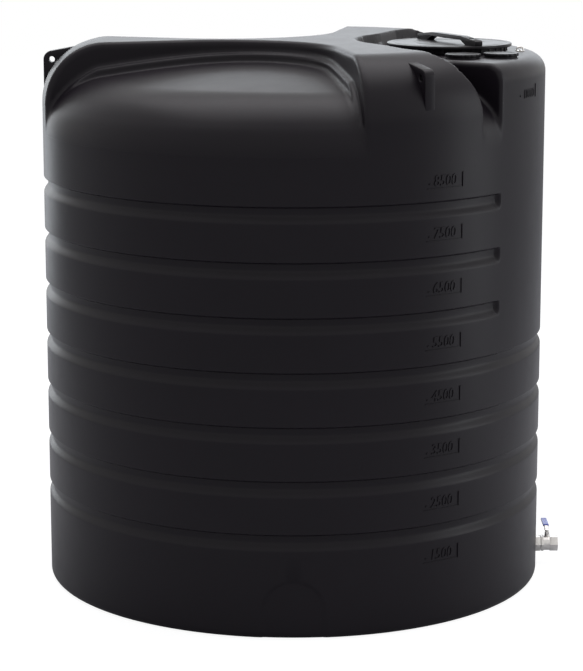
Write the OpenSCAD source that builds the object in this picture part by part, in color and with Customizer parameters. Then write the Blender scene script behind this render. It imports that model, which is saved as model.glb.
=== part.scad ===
// Upright rainwater tank, rotomoulded in one piece, with a screwed manway lid,
// two screwed ports beside it and a ball valve near the base.
// The axis of the tank is Z, the base is at z = 0, and +X points to the manway and the outlet.
// Plan angles are azimuths: 0 is the front (-Y), 90 is the manway side (+X).

/* [Tank body] */
// Outside radius of the tank wall
tank_r = 1170; // [1100:10:1300]
// Thickness of the moulded wall
wall = 9; // [6:0.5:12]
// Height of the deck above the ground
deck_z = 2535; // [2500:5:2700]
// Radius of the outer edge of the deck
deck_edge_r = 280; // [240:2:300]
// Radius of the bottom edge of the wall
base_edge_r = 28; // [20:1:40]

/* [Wall grooves] */
// Distance from the deck down to the upper edge of the top groove
top_groove_drop = 621; // [560:1:680]
// Height of the upper edge of the lowest groove
first_groove_z = 474; // [400:2:520]
// Depth of a groove
groove_depth = 20; // [10:1:30]
// Height of a groove at the wall's surface
groove_h = 70; // [50:1:90]
// Height of the sloping lower flank of a groove
groove_slope_h = 22; // [10:1:30]
// Height of the steep upper flank of a groove
groove_lip_h = 3; // [2:1:8]
// Number of grooves that run all the way round
ring_grooves = 4; // [2:1:4]
// Number of grooves above them that stop at the manway tower
short_grooves = 3; // [1:1:3]
// Angle between the tower's side and the end of a short groove
groove_gap_deg = 1.5; // [1:0.5:4]

/* [Base flats] */
// Width of the arched flats around the base
flat_w = 280; // [200:10:300]
// Height of the arched flats
flat_h = 265; // [200:5:300]
// Depth of the arched flats at their middle
flat_depth = 10; // [9:0.5:14]

/* [Deck recesses] */
// Distance from the tank's axis to the apex of a recess
recess_apex = 140; // [130:5:180]
// Radius of the apex of a recess
recess_apex_r = 526; // [450:2:560]
// Angle between a recess's axis and its side
recess_half_deg = 40; // [38:0.5:42]
// Width of the ledge around a recess
ledge_w = 24; // [14:1:34]
// Height of the ledge above the recess floor
ledge_h = 42; // [30:1:45]
// Depth of the recess floor below the deck at the tank's axis
floor_drop = 98; // [90:1:110]
// Radius of curvature of the recess floor
floor_curve_r = 6900; // [6000:50:8000]
// Width of the shoulder where the floor turns down to the wall
shoulder_w = 258; // [240:2:290]
// Height that the shoulder falls
shoulder_drop = 188; // [150:2:200]
// Depth below the recess floor at which the crown is cut apart from the wall
crown_drop = 187; // [180:1:200]

/* [Manway tower] */
// Depth of the platform that carries the lid, below the deck
tower_drop = 55; // [40:1:65]
// Radius of the outer edge of the platform
tower_edge_r = 80; // [60:2:90]
// Half the angle that the tower fills
tower_half_deg = 39; // [38:0.5:40]
// Distance from the wall to the lid's centre
manway_inset = 445; // [435:1:455]
// Radius of the round step in the deck around the lid
step_r = 430; // [420:2:440]
// Length of the notch beside the tower, from the wall
notch_l = 270; // [250:5:290]

/* [Manway lid] */
// Clear radius of the manway
manway_r = 240; // [220:2:245]
// Thickness of the manway's neck
neck_t = 14; // [10:1:18]
// Height of the neck above the platform
neck_h = 24; // [18:1:30]
// Distance from the step to the cut that parts the platform from the arms
platform_inset = 25; // [15:1:40]
// Radius of the lid
lid_r = 290; // [285:1:300]
// Thickness of the lid's disc
lid_t = 14; // [10:1:18]
// Thickness of the lid's threaded skirt
lid_skirt_t = 12; // [8:1:14]
// Thickness of a rubber seal under a lid or cap
seal_t = 3; // [2:0.5:4]
// Clearance between a screwed lid or cap and its neck
screw_clear = 1; // [0.6:0.2:1.6]

/* [Grip bar] */
// Angle of the grip bar in plan
bar_az = 25; // [0:1:60]
// Length of the grip bar
bar_l = 560; // [500:5:570]
// Width of the grip bar
bar_w = 38; // [30:1:50]
// Height of the middle of the grip bar above the lid
bar_h = 38; // [36:1:60]
// Height of the ends of the grip bar
bar_end_h = 24; // [22:1:34]
// Height of the finger gap under the grip bar
bar_gap = 20; // [14:1:22]
// Length of each foot of the grip bar
bar_foot = 95; // [80:1:110]
// Length of the slope from a foot up to the raised middle
bar_slope_l = 45; // [35:1:60]
// Share of the foot from the bar's end to its bolt
bar_bolt_share = 0.72; // [0.6:0.02:0.75]
// Thread radius of the bolts in the grip bar
bar_bolt_r = 5; // [4:0.5:6]

/* [Ports] */
// Azimuth of the two ports about the lid's centre
port_az = [5, 31];
// Clearance between the lid and the ports' caps
port_gap = 41; // [30:1:45]
// Radius of a port's screw cap
port_cap_r = 80; // [76:1:84]
// Thickness of the rim of a port's screw cap
port_cap_t = 13; // [10:1:16]
// Radius of the port's hole in the tank
port_hole_r = 62; // [56:1:64]
// Thickness of the port's threaded insert
port_insert_t = 6; // [5:0.5:8]
// Thickness of the insert's flange on the platform
port_flange_t = 4; // [3:0.5:6]
// Height of the lock nut under the platform
port_nut_h = 14; // [10:1:18]

/* [Padlock staple] */
// Rod radius of the padlock staple
staple_rod_r = 4; // [3:0.5:5]
// Radius of the bow of the padlock staple
staple_bow_r = 16; // [14:1:18]
// Thickness of the staple's foot plate
staple_plate_t = 3; // [2:0.5:4]

/* [Lifting fins] */
// Azimuths of the three arms, each with a lifting fin
fin_az = [-90, 30, 150];
// Thickness of a lifting fin
fin_t = 50; // [40:1:60]
// Radius of the hole in a lifting fin
fin_hole_r = 14; // [10:1:14]
// Distance from the wall's surface in to the hole in a fin
fin_hole_inset = 44; // [42:1:50]
// Depth of the hole in a fin below the deck
fin_hole_drop = 92; // [85:1:99]
// Radius of the corner of a lifting fin
fin_corner_r = 39; // [34:1:41]

/* [Level marks] */
// Azimuth of the column of level marks
mark_az = 35; // [30:1:40]
// Place of a level mark between two grooves, from 0 at the lower to 1 at the upper
mark_rise = 0.611; // [0.3:0.001:0.8]
// Number of level marks on the wall
mark_count = 8; // [4:1:8]
// Length of the line under a level's number
mark_l = 150; // [120:5:180]
// Width of the lines of the level marks
mark_w = 6; // [4:0.5:8]
// Height of the bar at the end of a level's line
mark_bar_h = 62; // [50:1:70]
// How far the level marks stand out of the wall
mark_proud = 3; // [2:0.5:4]

/* [Outlet] */
// Height of the outlet's axis
outlet_z = 100; // [90:1:120]
// Thread radius of the outlet
outlet_thread_r = 23.9; // [20:0.1:26]
// Bore radius of the outlet's tube
outlet_bore_r = 18; // [15:0.5:19]
// Width across flats of the outlet's nut and valve
hex_af = 70; // [66:1:74]
// Thickness of the outlet's nut
outlet_nut_t = 34; // [24:1:38]
// Thickness of an outlet gasket
gasket_t = 3; // [2:0.5:4]
// Radius of the flange inside the tank
inner_flange_r = 46; // [42:1:52]
// Thickness of the flange inside the tank
inner_flange_t = 10; // [8:1:14]

/* [Ball valve] */
// Length of the valve's main body
valve_body_l = 42; // [40:1:48]
// Length of the valve's screwed end cap
valve_cap_l = 39; // [37:1:46]
// Depth of the thread in the tank end of the valve
valve_socket_l = 12; // [10:0.5:13]
// Depth of the thread in the open end of the valve
valve_thread_l = 18; // [14:1:20]
// Radius of the ball
ball_r = 19; // [18:0.5:20]
// Bore radius of the ball and of the valve
ball_bore_r = 12.5; // [10:0.5:13]
// Thickness of a ball seat
seat_t = 4; // [3:0.5:5]
// Radius of the stem
stem_r = 6; // [5:0.5:6.5]
// Height of the boss that carries the stem, above the valve's axis
stem_boss_z = 44; // [42:1:50]
// Height of the gland nut
gland_h = 9; // [7:1:12]
// Running clearance in the valve
valve_clear = 0.3; // [0.2:0.05:0.4]

/* [Lever] */
// Length of the lever, from the stem's axis
lever_l = 168; // [140:2:200]
// Width of the lever's steel strip
lever_w = 20; // [16:1:24]
// Thickness of the lever's steel strip
lever_t = 3; // [2:0.5:5]
// Height that the lever rises from the stem to the grip
lever_rise = 16; // [10:1:24]
// Length of the blue sleeve on the lever
sleeve_l = 122; // [90:2:126]
// Thickness of the sleeve's wall
sleeve_t = 3.5; // [2.5:0.5:5]

/* [Hidden] */
$fn = 120;

// Colours
black_pe = [0.13, 0.12, 0.14];
black_rubber = [0.07, 0.07, 0.08];
steel = [0.78, 0.77, 0.75];
ptfe = [0.93, 0.93, 0.90];
blue_vinyl = [0.13, 0.20, 0.66];

// Small working lengths
eps = 0.5;
over = 200;
far = 1700;

// Levels of the tank's top
tower_z = deck_z - tower_drop;
floor_z = deck_z - floor_drop;
shoulder_start = tank_r - shoulder_w;
crown_z = floor_z - crown_drop;

// Levels of the bands and their marks
band_h = (deck_z - top_groove_drop - first_groove_z)/(ring_grooves + short_grooves - 1);
first_mark_z = first_groove_z - band_h + mark_rise*(band_h - groove_h - mark_bar_h);

// Places in plan
manway_x = tank_r - manway_inset;
port_pitch_r = lid_r + port_gap + port_cap_r;
fin_hole_x = tank_r - fin_hole_inset;
fin_hole_z = deck_z - fin_hole_drop;
notch_start = tank_r - notch_l;

// Plan of the arm edge beside the tower, from the round step out to the wall, as shares of the tank's radius
arm_edge = tank_r*[
  [0.2906, -0.1624], [0.3598, -0.3120], [0.4291, -0.4880],
  [0.5222, -0.6385], [0.6171, -0.6863], [0.7137, -0.6923]
];
arm_edge_az = 46.5;
// The platform is cut apart from the arms along this azimuth, in the notches
seam_az = (arm_edge_az + 90 - tower_half_deg)/2;

// The notch's side along the arm runs beside the arm edge
notch_side = [arm_edge[5] + [0, -12], arm_edge[4] + [-6, 3], arm_edge[3] + [39, 47]];

// Levels of the manway
neck_r = manway_r + neck_t;
neck_top = tower_z + neck_h;
lid_z = neck_top + seal_t;
lid_top = lid_z + lid_t;
lid_skirt_r = neck_r + screw_clear;
bar_bolt_u = bar_l/2 - bar_foot*bar_bolt_share;
bolt_head_r = 1.9*bar_bolt_r;
bolt_head_h = 1.3*bar_bolt_r;
bolt_nut_h = 1.6*bar_bolt_r;
bolt_seat_h = bar_end_h - 10;
bolt_clear = 0.3;

// Levels of the ports
port_r = port_hole_r - bolt_clear;
port_bore_r = port_r - port_insert_t;
port_flange_r = port_cap_r - 6;
port_flange_top = tower_z + port_flange_t;
port_cap_z = port_flange_top + seal_t;
port_plug_h = 22;
port_tube_low = tower_z - wall - port_nut_h - 4;

// Places of the padlock staple
staple_x = manway_x + lid_r + 40;
staple_plate_l = 2*(staple_bow_r + staple_rod_r);
staple_plate_w = 60;
staple_screw_r = 2.5;

// Places along the outlet
flat_x = tank_r - flat_depth;
outlet_tube_r = outlet_thread_r;
outlet_nut_x = flat_x + gasket_t;
valve_x = outlet_nut_x + outlet_nut_t + 3;
valve_cap_x = valve_x + valve_body_l;
valve_end = valve_cap_x + valve_cap_l;
outlet_tube_end = valve_x + valve_socket_l - 1;
inner_wall_x = flat_x - wall;
seat_reach = sqrt(ball_r*ball_r - ball_bore_r*ball_bore_r) - 2;
seat_shoulder = 1.5;
ball_x = valve_x + valve_socket_l + seat_shoulder + seat_t + seat_reach;
seat_r = ball_r - 2;
spigot_l = valve_cap_x - ball_x - stem_r - 2;
chamber_r = ball_r + 1.2;
hex_r = hex_af/2/cos(30);
valve_joint_r = chamber_r + 4;

// Heights on the stem
tang_h = 4;
tang_t = 6;
tang_l = 2*sqrt(stem_r*stem_r - tang_t*tang_t/4);
stem_low = ball_r - tang_h;
gland_z = stem_boss_z + 2;
lever_z = gland_z + gland_h + 0.5;
lever_nut_h = 7;
stem_top = lever_z + lever_t + lever_nut_h + 1;
packing_h = 8;
lever_bend_y = 26;

function az_point(r, az) = [r*sin(az), -r*cos(az)];
function arc_points(c, r, from, to, n) =
  [for (i = [0:n]) let (a = from + (to - from)*i/n) [c[0] + r*cos(a), c[1] + r*sin(a)]];
function port_at(i) = [manway_x + port_pitch_r*sin(port_az[i]), -port_pitch_r*cos(port_az[i])];

// Height of the recess floor at radius r, moved down by the inset d
function floor_at(r, d) =
  let (a = tank_r + 3 - d - shoulder_start, s = min(1, max(0, (r - shoulder_start)/a)))
  floor_z - d - r*r/(2*floor_curve_r) - shoulder_drop*(1 - sqrt(1 - s*s));
function floor_points(d, lift, n = 9) =
  let (r_end = tank_r + 3 - d)
  concat(
    [for (i = [0:3]) let (r = shoulder_start*i/4) [r, floor_at(r, d) + lift]],
    [for (i = [0:n]) let (r = shoulder_start + (r_end - shoulder_start)*sin(90*i/n))
      [r, floor_at(r, d) + lift]]);

// Each form below takes an inset d: 0 gives the outside of the wall and wall gives the inside

// Groove of the wall as points from its lower to its upper edge
function groove_points(z_up, d) = [
  [tank_r - d, z_up - groove_h - 0.4*d],
  [tank_r - groove_depth - d, z_up - groove_h + groove_slope_h - 0.4*d],
  [tank_r - groove_depth - d, z_up - groove_lip_h + d],
  [tank_r - d, z_up + d]
];

module body_block(d) {
  edge = arc_points([tank_r - base_edge_r, base_edge_r], base_edge_r - d, -90, 0, 5);
  grooves = [for (k = [0:ring_grooves - 1]) each groove_points(first_groove_z + k*band_h, d)];
  rotate_extrude()
    polygon(concat([[0, d]], edge, grooves, [[tank_r - d, deck_z - d], [0, deck_z - d]]));
}

// Ring of material outside the deck's rounded edge, all round but for the tower
module deck_edge_cut(d) {
  c = [tank_r - deck_edge_r, deck_z - deck_edge_r];
  r = deck_edge_r - d;
  arc = arc_points(c, r, 90, 0, 9);
  start = tower_half_deg + 1.5;
  rotate([0, 0, start])
    rotate_extrude(angle = 360 - 2*start)
      polygon(concat([[c[0] - 30, c[1] + r + eps]], arc, [[c[0] + r + eps, c[1] - 30]],
        [[tank_r + over, c[1] - 30], [tank_r + over, deck_z + over], [c[0] - 30, deck_z + over]]));
}

// Groove that stops at the tower, with its flanks carried on through the wall's surface
module short_groove_cut(z_up, d) {
  start = tower_half_deg + groove_gap_deg - d/tank_r*57.3;
  g = groove_points(z_up, d);
  rotate([0, 0, start])
    rotate_extrude(angle = 360 - 2*start)
      polygon([2*g[0] - g[1], g[1], g[2], 2*g[3] - g[2]]);
}

// Everything above the recess floor, raised by lift
module above_floor(d, lift) {
  pts = floor_points(d, lift);
  rim = pts[len(pts) - 1];
  rotate_extrude()
    polygon(concat(pts, [[tank_r + 2*over, rim[1] - 40], [tank_r + 2*over, deck_z + over], [0, deck_z + over]]));
}

// Plan of a recess along +X, made larger by grow
module recess_plan(grow) {
  c = recess_apex + recess_apex_r;
  r = recess_apex_r + grow;
  side = [-sin(recess_half_deg), cos(recess_half_deg)]*(r - eps);
  run = [cos(recess_half_deg), sin(recess_half_deg)]*far;
  translate([c, 0])
    circle(r = r);
  translate([c, 0])
    polygon([[0, 0], side, side + run, [side[0] + run[0], -side[1] - run[1]], [side[0], -side[1]]]);
}

module recess_cut(az, d) {
  rotate([0, 0, az - 90]) {
    intersection() {
      linear_extrude(deck_z + over) recess_plan(d);
      above_floor(d, ledge_h);
    }
    intersection() {
      linear_extrude(deck_z + over) recess_plan(d - ledge_w);
      above_floor(d, 0);
    }
  }
}

// Near side of the platform's plan, moved out by d, from the round step to far outside the wall
function arm_side(d) = concat([for (p = arm_edge) [p[0] - d, p[1] - d]], [az_point(far, arm_edge_az)]);
function mirrored(pts) = [for (i = [len(pts) - 1:-1:0]) [pts[i][0], -pts[i][1]]];

module platform_plan(d) {
  translate([manway_x, 0])
    circle(r = step_r + d);
  polygon(concat([[manway_x, 0]], arm_side(d), mirrored(arm_side(d))));
}

module above_platform(d) {
  c = [tank_r - tower_edge_r, tower_z - tower_edge_r];
  r = tower_edge_r - d;
  rotate_extrude()
    polygon(concat([[0, tower_z - d]], arc_points(c, r, 90, 0, 6), [[c[0] + r + eps, c[1] - 20]],
      [[tank_r + 2*over, c[1] - 20], [tank_r + 2*over, deck_z + over], [0, deck_z + over]]));
}

module platform_cut(d) {
  intersection() {
    linear_extrude(deck_z + over) platform_plan(d);
    above_platform(d);
  }
}

// Notch between an arm and the tower's side
module notch_plan(d) {
  tower_az = 90 - tower_half_deg;
  along = [sin(tower_az), -cos(tower_az)];
  across = [cos(tower_az), sin(tower_az)]*d;
  polygon([
    along*(notch_start - d) + across,
    along*far + across,
    az_point(far, arm_edge_az - 1),
    notch_side[0] - [d, d],
    notch_side[1] - [d, d],
    notch_side[2] - [d, d]
  ]);
}

module notch_cut(d) {
  intersection() {
    linear_extrude(deck_z + over) notch_plan(d);
    above_floor(d, 0);
  }
}

// Arched flat around the base, facing +X
module flat_cut(d) {
  r = flat_w/2 + d;
  translate([flat_x - d, 0, 0])
    rotate([90, 0, 90])
      linear_extrude(over) {
        translate([0, flat_h - flat_w/2])
          circle(r = r);
        translate([-r, -over])
          square([2*r, over + flat_h - flat_w/2]);
      }
}

module tank_form(d) {
  difference() {
    body_block(d);
    deck_edge_cut(d);
    for (k = [0:short_grooves - 1])
      short_groove_cut(first_groove_z + (ring_grooves + k)*band_h, d);
    for (az = [-30, 210])
      recess_cut(az, d);
    platform_cut(d);
    notch_cut(d);
    mirror([0, 1, 0]) notch_cut(d);
    for (a = [0:90:270])
      rotate([0, 0, a]) flat_cut(d);
  }
}

module lifting_fin() {
  c = [fin_hole_x, fin_hole_z];
  outer_x = fin_hole_x + fin_corner_r;
  rotate([90, 0, 0])
    linear_extrude(fin_t, center = true)
      polygon(concat(
        [[outer_x, deck_z - deck_edge_r]],
        arc_points(c, fin_corner_r, 0, 82, 6),
        [[tank_r - deck_edge_r + 50, deck_z - 15], [tank_r - deck_edge_r + 50, deck_z - deck_edge_r/2]]));
}

module fin_hole() {
  translate([fin_hole_x, 0, fin_hole_z])
    rotate([90, 0, 0])
      cylinder(r = fin_hole_r, h = fin_t + 2*over, center = true);
}

// Lines under the levels' numbers, each with a bar at its end, raised on the wall
module level_marks() {
  half = mark_l/2;
  intersection() {
    cylinder(r = tank_r + mark_proud, h = deck_z);
    rotate([0, 0, mark_az - 90])
      translate([tank_r - wall/2, 0, 0])
        rotate([90, 0, 90])
          linear_extrude(wall)
            for (k = [0:mark_count - 1])
              translate([0, first_mark_z + k*band_h])
                polygon([
                  [-half, 0], [half, 0], [half, mark_bar_h], [half - mark_w, mark_bar_h],
                  [half - mark_w, mark_w], [-half, mark_w]
                ]);
  }
}

// The whole moulding between two heights
module tank_moulding(low, high) {
  intersection() {
    translate([-far, -far, low])
      cube([2*far, 2*far, high - low]);
    difference() {
      union() {
        tank_form(0);
        for (az = fin_az)
          rotate([0, 0, az - 90]) lifting_fin();
        level_marks();
      }
      tank_form(wall);
      for (az = fin_az)
        rotate([0, 0, az - 90]) fin_hole();
      translate([manway_x, 0, tower_z - wall - 1])
        cylinder(r = manway_r, h = wall + 2);
      for (i = [0, 1])
        translate([port_at(i)[0], port_at(i)[1], tower_z - over])
          cylinder(r = port_hole_r, h = 2*over);
      translate([flat_x - over, 0, outlet_z])
        rotate([0, 90, 0])
          cylinder(r = outlet_tube_r + bolt_clear, h = 2*over);
    }
  }
}

// Plan of the platform behind the step, cut apart from the arms
module platform_patch() {
  r = step_r - platform_inset;
  corner = [manway_x - 0.4*r, -0.88*r];
  side = [corner, az_point(notch_start - 20, seam_az), az_point(far, seam_az)];
  translate([0, 0, crown_z - over])
    linear_extrude(deck_z) {
      translate([manway_x, 0])
        circle(r = r);
      polygon(concat([[manway_x, 0]], side, mirrored(side)));
    }
}

// Base and wall of the moulding, up to the crown
module tank_shell() {
  color(black_pe) tank_moulding(-over, crown_z);
}

// Top of the moulding: shoulder, recesses, arms and fins
module tank_crown() {
  color(black_pe)
    difference() {
      tank_moulding(crown_z, deck_z + over);
      platform_patch();
    }
}

// Top of the moulding: the platform that carries the lid and the ports
module tank_platform() {
  color(black_pe)
    intersection() {
      tank_moulding(crown_z, deck_z + over);
      platform_patch();
    }
}

// Threaded neck that the lid screws onto
module manway_neck() {
  color(black_pe)
    at_manway()
      translate([0, 0, tower_z])
        ring(neck_r, manway_r, neck_h);
}

module at_manway() {
  translate([manway_x, 0, 0]) children();
}

// Both bolt places of the grip bar
module at_bar_bolts() {
  at_manway()
    rotate([0, 0, bar_az])
      for (s = [-1, 1])
        translate([0, s*bar_bolt_u, 0]) children();
}

module manway_lid() {
  color(black_pe)
    difference() {
      at_manway() {
        translate([0, 0, lid_z])
          cylinder(r = lid_r, h = lid_t);
        difference() {
          translate([0, 0, tower_z + 3])
            cylinder(r = lid_skirt_r + lid_skirt_t, h = lid_z - tower_z - 3 + 1);
          translate([0, 0, tower_z])
            cylinder(r = lid_skirt_r, h = lid_z - tower_z);
        }
      }
      at_bar_bolts()
        translate([0, 0, lid_z - 1])
          cylinder(r = bar_bolt_r + bolt_clear, h = lid_t + 2);
    }
}

module lid_seal() {
  color(black_rubber)
    at_manway()
      translate([0, 0, neck_top])
        difference() {
          cylinder(r = neck_r - 1, h = seal_t);
          translate([0, 0, -1])
            cylinder(r = manway_r, h = seal_t + 2);
        }
}

module grip_bar() {
  half = bar_l/2;
  foot = half - bar_foot;
  knee = foot - bar_slope_l;
  color(black_pe)
    difference() {
      at_manway()
        translate([0, 0, lid_top])
          rotate([0, 0, bar_az])
            rotate([90, 0, 90])
              linear_extrude(bar_w, center = true)
                polygon([
                  [-half, 0], [-foot, 0], [-knee, bar_gap], [knee, bar_gap], [foot, 0], [half, 0],
                  [half, bar_end_h - 4], [half - 6, bar_end_h], [knee, bar_h], [-knee, bar_h],
                  [6 - half, bar_end_h], [-half, bar_end_h - 4]
                ]);
      at_bar_bolts() {
        translate([0, 0, lid_top - 1])
          cylinder(r = bar_bolt_r + bolt_clear, h = bar_h + 2);
        translate([0, 0, lid_top + bolt_seat_h])
          cylinder(r = 2*bar_bolt_r + 2, h = bar_h);
      }
    }
}

module grip_bar_bolts() {
  color(steel)
    at_bar_bolts() {
      translate([0, 0, lid_top + bolt_seat_h])
        cylinder(r = bolt_head_r, h = bolt_head_h, $fn = 6);
      translate([0, 0, lid_z - bolt_nut_h - 2])
        cylinder(r = bar_bolt_r, h = lid_top + bolt_seat_h + 1 - lid_z + bolt_nut_h + 2);
    }
}

module grip_bar_nuts() {
  color(steel)
    at_bar_bolts()
      translate([0, 0, lid_z - bolt_nut_h])
        difference() {
          cylinder(r = bolt_head_r, h = bolt_nut_h, $fn = 6);
          translate([0, 0, -1])
            cylinder(r = bar_bolt_r + 0.1, h = bolt_nut_h + 2);
        }
}

module at_port(i) {
  translate([port_at(i)[0], port_at(i)[1], 0]) children();
}

module port_insert(i) {
  color(black_pe)
    at_port(i)
      difference() {
        union() {
          translate([0, 0, port_tube_low])
            cylinder(r = port_r, h = port_flange_top - port_tube_low);
          translate([0, 0, tower_z])
            cylinder(r = port_flange_r, h = port_flange_t);
        }
        translate([0, 0, port_tube_low - 1])
          cylinder(r = port_bore_r, h = port_flange_top - port_tube_low + 2);
      }
}

module port_nut(i) {
  color(black_pe)
    at_port(i)
      translate([0, 0, tower_z - wall - port_nut_h])
        difference() {
          cylinder(r = port_flange_r + 4, h = port_nut_h, $fn = 8);
          translate([0, 0, -1])
            cylinder(r = port_r + 0.1, h = port_nut_h + 2);
        }
}

module port_seal(i) {
  color(black_rubber)
    at_port(i)
      translate([0, 0, port_flange_top])
        difference() {
          cylinder(r = port_flange_r - 1, h = seal_t);
          translate([0, 0, -1])
            cylinder(r = port_bore_r, h = seal_t + 2);
        }
}

// Screw cap with a plug that goes down into the insert, and finger scallops around its rim
module port_cap(i) {
  plug_r = port_bore_r - screw_clear;
  grips = 16;
  color(black_pe)
    at_port(i) {
      difference() {
        translate([0, 0, port_cap_z])
          cylinder(r = port_cap_r, h = port_cap_t);
        for (k = [0:grips - 1])
          rotate([0, 0, k*360/grips])
            translate([port_cap_r + 3, 0, port_cap_z - 1])
              cylinder(r = 6, h = port_cap_t + 2);
      }
      difference() {
        translate([0, 0, port_cap_z - port_plug_h])
          cylinder(r = plug_r, h = port_plug_h + 1);
        translate([0, 0, port_cap_z - port_plug_h - 1])
          cylinder(r = plug_r - port_insert_t, h = port_plug_h + 1);
      }
    }
}

module staple_screw_places() {
  for (s = [-1, 1])
    translate([staple_x, s*(staple_plate_w/2 - 9), 0]) children();
}

// Half ring of steel rod on a foot plate
module padlock_staple() {
  color(steel)
    difference() {
      union() {
        translate([staple_x - staple_plate_l/2, -staple_plate_w/2, tower_z])
          cube([staple_plate_l, staple_plate_w, staple_plate_t]);
        translate([staple_x, 0, tower_z + staple_plate_t - 0.5])
          rotate([90, 0, 0])
            rotate_extrude(angle = 180)
              translate([staple_bow_r, 0])
                circle(r = staple_rod_r);
      }
      staple_screw_places()
        translate([0, 0, tower_z - 1])
          cylinder(r = staple_screw_r + 0.2, h = staple_plate_t + 2);
    }
}

module staple_screws() {
  color(steel)
    staple_screw_places() {
      translate([0, 0, tower_z + staple_plate_t])
        cylinder(r = 2*staple_screw_r, h = 3);
      translate([0, 0, tower_z])
        cylinder(r = staple_screw_r, h = staple_plate_t + 1);
    }
}

// Turns a shape built along Z onto the outlet's axis, starting at x
module on_outlet(x) {
  translate([x, 0, outlet_z])
    rotate([0, 90, 0])
      children();
}

module ring(r_out, r_in, h) {
  difference() {
    cylinder(r = r_out, h = h);
    translate([0, 0, -1])
      cylinder(r = r_in, h = h + 2);
  }
}

module outlet_flange() {
  flange_x = inner_wall_x - gasket_t - inner_flange_t;
  color(steel)
    on_outlet(flange_x)
      difference() {
        union() {
          cylinder(r = inner_flange_r, h = inner_flange_t);
          cylinder(r = outlet_tube_r, h = outlet_tube_end - flange_x);
        }
        translate([0, 0, -1])
          cylinder(r = outlet_bore_r, h = outlet_tube_end - flange_x + 2);
      }
}

module outlet_inner_gasket() {
  color(black_rubber)
    on_outlet(inner_wall_x - gasket_t)
      ring(inner_flange_r - 1, outlet_tube_r + 0.1, gasket_t);
}

module outlet_outer_gasket() {
  color(black_rubber)
    on_outlet(flat_x)
      ring(hex_af/2 - 1, outlet_tube_r + 0.1, gasket_t);
}

module outlet_nut() {
  color(steel)
    on_outlet(outlet_nut_x)
      difference() {
        rotate([0, 0, 30])
          cylinder(r = hex_r, h = outlet_nut_t, $fn = 6);
        translate([0, 0, -1])
          cylinder(r = outlet_tube_r + 0.1, h = outlet_nut_t + 2);
      }
}

// Valve body: hexagon at the tank end, round chamber, and the boss for the stem
module valve_body() {
  color(steel)
    difference() {
      union() {
        on_outlet(valve_x)
          rotate([0, 0, 30])
            cylinder(r = hex_r, h = valve_socket_l, $fn = 6);
        on_outlet(valve_x + valve_socket_l - 1)
          cylinder(r = hex_af/2, h = valve_body_l - valve_socket_l + 1);
        translate([ball_x, 0, outlet_z])
          cylinder(r = stem_r + 5.5, h = stem_boss_z);
      }
      on_outlet(valve_x - 1)
        cylinder(r = outlet_tube_r + 0.1, h = valve_socket_l + 1);
      on_outlet(valve_x)
        cylinder(r = ball_bore_r, h = valve_body_l);
      on_outlet(ball_x - seat_reach - seat_t)
        cylinder(r = seat_r + 0.1, h = seat_t + 1);
      on_outlet(ball_x - seat_reach)
        cylinder(r = chamber_r, h = valve_end - ball_x);
      on_outlet(valve_cap_x - spigot_l - 0.5)
        cylinder(r = valve_joint_r, h = spigot_l + 1);
      translate([ball_x, 0, outlet_z])
        cylinder(r = stem_r + valve_clear, h = stem_boss_z + 1);
      translate([ball_x, 0, outlet_z + stem_boss_z - packing_h])
        cylinder(r = stem_r + 3, h = packing_h + 1);
    }
}

// End cap: screwed into the body, with the outlet's female thread
module valve_end_cap() {
  color(steel)
    difference() {
      union() {
        on_outlet(valve_cap_x)
          rotate([0, 0, 30])
            cylinder(r = hex_r - 1, h = valve_cap_l, $fn = 6);
        on_outlet(valve_cap_x - spigot_l)
          cylinder(r = valve_joint_r - 0.1, h = spigot_l + 1);
      }
      on_outlet(ball_x)
        cylinder(r = ball_bore_r, h = valve_end - ball_x + 1);
      on_outlet(valve_end - valve_thread_l)
        cylinder(r = outlet_thread_r - 1.5, h = valve_thread_l + 1);
      on_outlet(ball_x + seat_reach - 1)
        cylinder(r = seat_r + 0.1, h = seat_t + 1);
      on_outlet(ball_x - 1)
        cylinder(r = chamber_r, h = seat_reach + 1);
    }
}

module valve_ball() {
  color(steel)
    translate([ball_x, 0, outlet_z])
      difference() {
        sphere(r = ball_r);
        rotate([90, 0, 0])
          cylinder(r = ball_bore_r, h = 4*ball_r, center = true);
        translate([-stem_r - 0.5, -tang_t/2 - valve_clear, stem_low - valve_clear])
          cube([2*stem_r + 1, tang_t + 2*valve_clear, ball_r]);
      }
}

// PTFE ring against one side of the ball, s is -1 towards the tank and 1 away from it
module ball_seat(s) {
  color(ptfe)
    translate([ball_x, 0, outlet_z])
      rotate([0, 90*s, 0])
        difference() {
          translate([0, 0, seat_reach - 1])
            ring(seat_r, ball_bore_r + 0.5, seat_t + 1);
          sphere(r = ball_r + valve_clear);
        }
}

module valve_stem() {
  color(steel)
    translate([ball_x, 0, outlet_z]) {
      translate([-tang_l/2, -tang_t/2, stem_low])
        cube([tang_l, tang_t, tang_h + 0.6]);
      translate([0, 0, ball_r + 0.2])
        cylinder(r = stem_r, h = lever_z - ball_r - 0.2);
      translate([0, 0, lever_z - 1])
        cylinder(r = stem_r - 2, h = stem_top - lever_z + 1);
    }
}

module stem_packing() {
  color(ptfe)
    translate([ball_x, 0, outlet_z + stem_boss_z - packing_h])
      ring(stem_r + 3 - 0.05, stem_r + valve_clear, packing_h);
}

module gland_nut() {
  color(steel)
    translate([ball_x, 0, outlet_z + stem_boss_z])
      difference() {
        cylinder(r = stem_r + 5, h = gland_z - stem_boss_z + gland_h, $fn = 6);
        translate([0, 0, -1])
          cylinder(r = stem_r + valve_clear, h = gland_h + 6);
      }
}

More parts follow.
